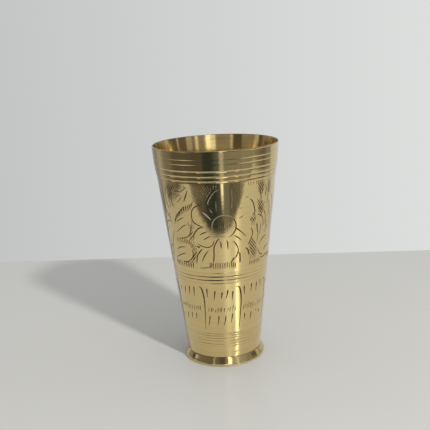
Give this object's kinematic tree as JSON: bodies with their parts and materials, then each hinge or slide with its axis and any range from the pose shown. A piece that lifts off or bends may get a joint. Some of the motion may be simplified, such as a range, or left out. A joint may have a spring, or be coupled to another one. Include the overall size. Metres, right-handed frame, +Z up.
{
  "type": "brass lassi tumbler",
  "caption": "Tall tapering brass drinking tumbler with turned line rings, an engraved floral band and a small flared foot.",
  "frame": {"origin": "centre of the foot ring's sole, on the axis, in the plane that the tumbler stands on", "axes": "+Z up along the axis towards the open rim; the engraved flower that faces the viewer is on the -Y side"},
  "size_m": [0.0962, 0.0962, 0.17],
  "materials": {
    "polished_brass": "polished, with fine turning marks and engraved lines",
    "spun_brass": "satin, spun",
    "brazing_brass": "dull, as brazed"
  },
  "bodies": {
    "root": {"body_shell": "polished_brass", "foot_ring": "polished_brass", "floor_disc": "spun_brass", "floor_braze": "brazing_brass", "foot_braze": "brazing_brass"}
  },
  "joints": []
}
